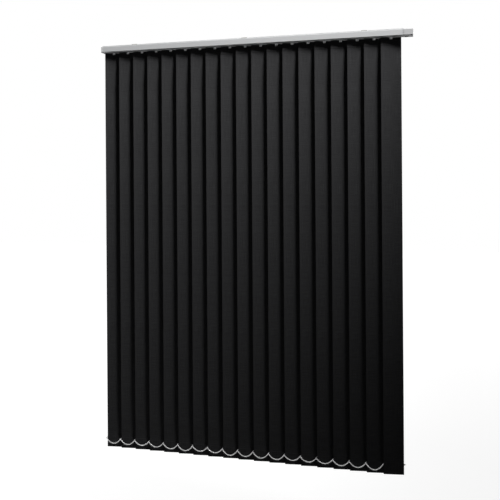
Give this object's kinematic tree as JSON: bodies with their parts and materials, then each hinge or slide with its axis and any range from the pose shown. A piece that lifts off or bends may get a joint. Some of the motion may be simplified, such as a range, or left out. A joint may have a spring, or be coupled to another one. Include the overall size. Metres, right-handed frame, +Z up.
{
  "type": "vertical blind",
  "caption": "Vertical blind: charcoal fabric vanes that turn and draw aside on carriers in a white headrail, linked along the bottom by bead chains.",
  "frame": {"origin": "centre of the bracket screws, on the brackets' top face, where the ceiling or lintel lies", "axes": "+Z up, -Y towards the room, +X along the headrail to the control end"},
  "size_m": [1.4872, 0.047, 1.97],
  "materials": {
    "coated_aluminium": "satin white coat",
    "spring_steel": "bright zinc",
    "white_plastic": "fine moulded grain",
    "screw_steel": "bright zinc",
    "clear_strip": "smooth",
    "grey_plastic": "smooth moulded",
    "rod_aluminium": "as drawn",
    "chain_plastic": "smooth moulded",
    "vane_fabric": "plain weave, charcoal"
  },
  "bodies": {
    "rail": {"headrail": "coated_aluminium", "bracket_left": "spring_steel", "bracket_middle": "spring_steel", "bracket_right": "spring_steel", "end_cap": "white_plastic", "end_screws": "screw_steel", "anchor_link": "clear_strip", "control_housing": "white_plastic", "control_cover": "white_plastic", "cover_screws": "screw_steel", "carrier_01": "grey_plastic"},
    "carrier_02": {"carrier_02": "grey_plastic"},
    "carrier_03": {"carrier_03": "grey_plastic"},
    "carrier_04": {"carrier_04": "grey_plastic"},
    "carrier_05": {"carrier_05": "grey_plastic"},
    "carrier_06": {"carrier_06": "grey_plastic"},
    "carrier_07": {"carrier_07": "grey_plastic"},
    "carrier_08": {"carrier_08": "grey_plastic"},
    "carrier_09": {"carrier_09": "grey_plastic"},
    "carrier_10": {"carrier_10": "grey_plastic"},
    "carrier_11": {"carrier_11": "grey_plastic"},
    "carrier_12": {"carrier_12": "grey_plastic"},
    "carrier_13": {"carrier_13": "grey_plastic"},
    "carrier_14": {"carrier_14": "grey_plastic"},
    "carrier_15": {"carrier_15": "grey_plastic"},
    "carrier_16": {"carrier_16": "grey_plastic"},
    "carrier_17": {"carrier_17": "grey_plastic"},
    "carrier_18": {"carrier_18": "grey_plastic"},
    "carrier_19": {"carrier_19": "grey_plastic"},
    "vane_01": {"vane_01": "vane_fabric"},
    "vane_02": {"vane_02": "vane_fabric"},
    "vane_03": {"vane_03": "vane_fabric"},
    "vane_04": {"vane_04": "vane_fabric"},
    "vane_05": {"vane_05": "vane_fabric"},
    "vane_06": {"vane_06": "vane_fabric"},
    "vane_07": {"vane_07": "vane_fabric"},
    "vane_08": {"vane_08": "vane_fabric"},
    "vane_09": {"vane_09": "vane_fabric"},
    "vane_10": {"vane_10": "vane_fabric"},
    "vane_11": {"vane_11": "vane_fabric"},
    "vane_12": {"vane_12": "vane_fabric"},
    "vane_13": {"vane_13": "vane_fabric"},
    "vane_14": {"vane_14": "vane_fabric"},
    "vane_15": {"vane_15": "vane_fabric"},
    "vane_16": {"vane_16": "vane_fabric"},
    "vane_17": {"vane_17": "vane_fabric"},
    "vane_18": {"vane_18": "vane_fabric"},
    "vane_19": {"vane_19": "vane_fabric"},
    "tilt_rod": {"tilt_rod": "rod_aluminium", "tilt_sprocket": "grey_plastic"},
    "return_pulley": {"return_pulley": "grey_plastic"},
    "guide_pulley_front": {"guide_pulley_front": "grey_plastic"},
    "guide_pulley_rear": {"guide_pulley_rear": "grey_plastic"},
    "front_chain": {"front_chain": "chain_plastic"},
    "rear_chain": {"rear_chain": "chain_plastic"}
  },
  "joints": [
    {"name": "carrier_19_slide", "type": "slide", "parent": "rail", "child": "carrier_19", "axis": [1, 0, 0], "range_m": [-0.9, 0], "deforming": ["front_chain", "rear_chain"]},
    {"name": "carrier_18_slide", "type": "slide", "parent": "rail", "child": "carrier_18", "axis": [1, 0, 0], "range_m": [-0.85, 0]},
    {"name": "carrier_17_slide", "type": "slide", "parent": "rail", "child": "carrier_17", "axis": [1, 0, 0], "range_m": [-0.8, 0]},
    {"name": "carrier_16_slide", "type": "slide", "parent": "rail", "child": "carrier_16", "axis": [1, 0, 0], "range_m": [-0.75, 0]},
    {"name": "carrier_15_slide", "type": "slide", "parent": "rail", "child": "carrier_15", "axis": [1, 0, 0], "range_m": [-0.7, 0]},
    {"name": "carrier_14_slide", "type": "slide", "parent": "rail", "child": "carrier_14", "axis": [1, 0, 0], "range_m": [-0.65, 0]},
    {"name": "carrier_13_slide", "type": "slide", "parent": "rail", "child": "carrier_13", "axis": [1, 0, 0], "range_m": [-0.6, 0]},
    {"name": "carrier_12_slide", "type": "slide", "parent": "rail", "child": "carrier_12", "axis": [1, 0, 0], "range_m": [-0.55, 0]},
    {"name": "carrier_11_slide", "type": "slide", "parent": "rail", "child": "carrier_11", "axis": [1, 0, 0], "range_m": [-0.5, 0]},
    {"name": "carrier_10_slide", "type": "slide", "parent": "rail", "child": "carrier_10", "axis": [1, 0, 0], "range_m": [-0.45, 0]},
    {"name": "carrier_09_slide", "type": "slide", "parent": "rail", "child": "carrier_09", "axis": [1, 0, 0], "range_m": [-0.4, 0]},
    {"name": "carrier_08_slide", "type": "slide", "parent": "rail", "child": "carrier_08", "axis": [1, 0, 0], "range_m": [-0.35, 0]},
    {"name": "carrier_07_slide", "type": "slide", "parent": "rail", "child": "carrier_07", "axis": [1, 0, 0], "range_m": [-0.3, 0]},
    {"name": "carrier_06_slide", "type": "slide", "parent": "rail", "child": "carrier_06", "axis": [1, 0, 0], "range_m": [-0.25, 0]},
    {"name": "carrier_05_slide", "type": "slide", "parent": "rail", "child": "carrier_05", "axis": [1, 0, 0], "range_m": [-0.2, 0]},
    {"name": "carrier_04_slide", "type": "slide", "parent": "rail", "child": "carrier_04", "axis": [1, 0, 0], "range_m": [-0.15, 0]},
    {"name": "carrier_03_slide", "type": "slide", "parent": "rail", "child": "carrier_03", "axis": [1, 0, 0], "range_m": [-0.1, 0]},
    {"name": "carrier_02_slide", "type": "slide", "parent": "rail", "child": "carrier_02", "axis": [1, 0, 0], "range_m": [-0.05, 0]},
    {"name": "vane_01_tilt", "type": "hinge", "parent": "rail", "child": "vane_01", "pos_m": [-0.666, 0, -0.04], "axis": [0, 0, 1], "range_deg": [0, 164]},
    {"name": "vane_02_tilt", "type": "hinge", "parent": "carrier_02", "child": "vane_02", "pos_m": [-0.592, 0, -0.04], "axis": [0, 0, 1], "range_deg": [0, 164]},
    {"name": "vane_03_tilt", "type": "hinge", "parent": "carrier_03", "child": "vane_03", "pos_m": [-0.518, 0, -0.04], "axis": [0, 0, 1], "range_deg": [0, 164]},
    {"name": "vane_04_tilt", "type": "hinge", "parent": "carrier_04", "child": "vane_04", "pos_m": [-0.444, 0, -0.04], "axis": [0, 0, 1], "range_deg": [0, 164]},
    {"name": "vane_05_tilt", "type": "hinge", "parent": "carrier_05", "child": "vane_05", "pos_m": [-0.37, 0, -0.04], "axis": [0, 0, 1], "range_deg": [0, 164]},
    {"name": "vane_06_tilt", "type": "hinge", "parent": "carrier_06", "child": "vane_06", "pos_m": [-0.296, 0, -0.04], "axis": [0, 0, 1], "range_deg": [0, 164]},
    {"name": "vane_07_tilt", "type": "hinge", "parent": "carrier_07", "child": "vane_07", "pos_m": [-0.222, 0, -0.04], "axis": [0, 0, 1], "range_deg": [0, 164]},
    {"name": "vane_08_tilt", "type": "hinge", "parent": "carrier_08", "child": "vane_08", "pos_m": [-0.148, 0, -0.04], "axis": [0, 0, 1], "range_deg": [0, 164]},
    {"name": "vane_09_tilt", "type": "hinge", "parent": "carrier_09", "child": "vane_09", "pos_m": [-0.074, 0, -0.04], "axis": [0, 0, 1], "range_deg": [0, 164]},
    {"name": "vane_10_tilt", "type": "hinge", "parent": "carrier_10", "child": "vane_10", "pos_m": [0, 0, -0.04], "axis": [0, 0, 1], "range_deg": [0, 164]},
    {"name": "vane_11_tilt", "type": "hinge", "parent": "carrier_11", "child": "vane_11", "pos_m": [0.074, 0, -0.04], "axis": [0, 0, 1], "range_deg": [0, 164]},
    {"name": "vane_12_tilt", "type": "hinge", "parent": "carrier_12", "child": "vane_12", "pos_m": [0.148, 0, -0.04], "axis": [0, 0, 1], "range_deg": [0, 164]},
    {"name": "vane_13_tilt", "type": "hinge", "parent": "carrier_13", "child": "vane_13", "pos_m": [0.222, 0, -0.04], "axis": [0, 0, 1], "range_deg": [0, 164]},
    {"name": "vane_14_tilt", "type": "hinge", "parent": "carrier_14", "child": "vane_14", "pos_m": [0.296, 0, -0.04], "axis": [0, 0, 1], "range_deg": [0, 164]},
    {"name": "vane_15_tilt", "type": "hinge", "parent": "carrier_15", "child": "vane_15", "pos_m": [0.37, 0, -0.04], "axis": [0, 0, 1], "range_deg": [0, 164]},
    {"name": "vane_16_tilt", "type": "hinge", "parent": "carrier_16", "child": "vane_16", "pos_m": [0.444, 0, -0.04], "axis": [0, 0, 1], "range_deg": [0, 164]},
    {"name": "vane_17_tilt", "type": "hinge", "parent": "carrier_17", "child": "vane_17", "pos_m": [0.518, 0, -0.04], "axis": [0, 0, 1], "range_deg": [0, 164]},
    {"name": "vane_18_tilt", "type": "hinge", "parent": "carrier_18", "child": "vane_18", "pos_m": [0.592, 0, -0.04], "axis": [0, 0, 1], "range_deg": [0, 164]},
    {"name": "vane_19_tilt", "type": "hinge", "parent": "carrier_19", "child": "vane_19", "pos_m": [0.666, 0, -0.04], "axis": [0, 0, 1], "range_deg": [0, 164]},
    {"name": "tilt_rod_turn", "type": "hinge", "parent": "rail", "child": "tilt_rod", "pos_m": [0, 0.009, -0.0175], "axis": [1, 0, 0], "range_deg": [0, 656]},
    {"name": "front_chain_swing", "type": "hinge", "parent": "vane_10", "child": "front_chain", "pos_m": [-0.04773, -0.00671, -1.926], "axis": [0, 0, 1], "range_deg": [-164, 0]},
    {"name": "rear_chain_swing", "type": "hinge", "parent": "vane_10", "child": "rear_chain", "pos_m": [0.04773, 0.00671, -1.926], "axis": [0, 0, 1], "range_deg": [-164, 0]},
    {"name": "return_pulley_turn", "type": "hinge", "parent": "rail", "child": "return_pulley", "pos_m": [-0.706, -0.0135, -0.0175], "axis": [0, 0, 1], "range_deg": [-11465, 0]},
    {"name": "guide_pulley_front_turn", "type": "hinge", "parent": "rail", "child": "guide_pulley_front", "pos_m": [0.735, -0.018, -0.022], "axis": [0, 1, 0], "range_deg": [-11465, 0]},
    {"name": "guide_pulley_rear_turn", "type": "hinge", "parent": "rail", "child": "guide_pulley_rear", "pos_m": [0.735, -0.009, -0.022], "axis": [0, 1, 0], "range_deg": [0, 11465]}
  ],
  "couplings": [
    {"joint": "carrier_18_slide", "follows": "carrier_19_slide", "ratio": 0.94444},
    {"joint": "carrier_17_slide", "follows": "carrier_19_slide", "ratio": 0.88889},
    {"joint": "carrier_16_slide", "follows": "carrier_19_slide", "ratio": 0.83333},
    {"joint": "carrier_15_slide", "follows": "carrier_19_slide", "ratio": 0.77778},
    {"joint": "carrier_14_slide", "follows": "carrier_19_slide", "ratio": 0.72222},
    {"joint": "carrier_13_slide", "follows": "carrier_19_slide", "ratio": 0.66667},
    {"joint": "carrier_12_slide", "follows": "carrier_19_slide", "ratio": 0.61111},
    {"joint": "carrier_11_slide", "follows": "carrier_19_slide", "ratio": 0.55556},
    {"joint": "carrier_10_slide", "follows": "carrier_19_slide", "ratio": 0.5},
    {"joint": "carrier_09_slide", "follows": "carrier_19_slide", "ratio": 0.44444},
    {"joint": "carrier_08_slide", "follows": "carrier_19_slide", "ratio": 0.38889},
    {"joint": "carrier_07_slide", "follows": "carrier_19_slide", "ratio": 0.33333},
    {"joint": "carrier_06_slide", "follows": "carrier_19_slide", "ratio": 0.27778},
    {"joint": "carrier_05_slide", "follows": "carrier_19_slide", "ratio": 0.22222},
    {"joint": "carrier_04_slide", "follows": "carrier_19_slide", "ratio": 0.16667},
    {"joint": "carrier_03_slide", "follows": "carrier_19_slide", "ratio": 0.11111},
    {"joint": "carrier_02_slide", "follows": "carrier_19_slide", "ratio": 0.055556},
    {"joint": "vane_01_tilt", "follows": "vane_10_tilt", "ratio": 1},
    {"joint": "vane_02_tilt", "follows": "vane_10_tilt", "ratio": 1},
    {"joint": "vane_03_tilt", "follows": "vane_10_tilt", "ratio": 1},
    {"joint": "vane_04_tilt", "follows": "vane_10_tilt", "ratio": 1},
    {"joint": "vane_05_tilt", "follows": "vane_10_tilt", "ratio": 1},
    {"joint": "vane_06_tilt", "follows": "vane_10_tilt", "ratio": 1},
    {"joint": "vane_07_tilt", "follows": "vane_10_tilt", "ratio": 1},
    {"joint": "vane_08_tilt", "follows": "vane_10_tilt", "ratio": 1},
    {"joint": "vane_09_tilt", "follows": "vane_10_tilt", "ratio": 1},
    {"joint": "vane_11_tilt", "follows": "vane_10_tilt", "ratio": 1},
    {"joint": "vane_12_tilt", "follows": "vane_10_tilt", "ratio": 1},
    {"joint": "vane_13_tilt", "follows": "vane_10_tilt", "ratio": 1},
    {"joint": "vane_14_tilt", "follows": "vane_10_tilt", "ratio": 1},
    {"joint": "vane_15_tilt", "follows": "vane_10_tilt", "ratio": 1},
    {"joint": "vane_16_tilt", "follows": "vane_10_tilt", "ratio": 1},
    {"joint": "vane_17_tilt", "follows": "vane_10_tilt", "ratio": 1},
    {"joint": "vane_18_tilt", "follows": "vane_10_tilt", "ratio": 1},
    {"joint": "vane_19_tilt", "follows": "vane_10_tilt", "ratio": 1},
    {"joint": "tilt_rod_turn", "follows": "vane_10_tilt", "ratio": 4},
    {"joint": "front_chain_swing", "follows": "vane_10_tilt", "ratio": -1},
    {"joint": "rear_chain_swing", "follows": "vane_10_tilt", "ratio": -1},
    {"joint": "return_pulley_turn", "follows": "carrier_19_slide", "rad_per_m": 222.22},
    {"joint": "guide_pulley_front_turn", "follows": "carrier_19_slide", "rad_per_m": 222.22},
    {"joint": "guide_pulley_rear_turn", "follows": "carrier_19_slide", "rad_per_m": -222.22}
  ]
}
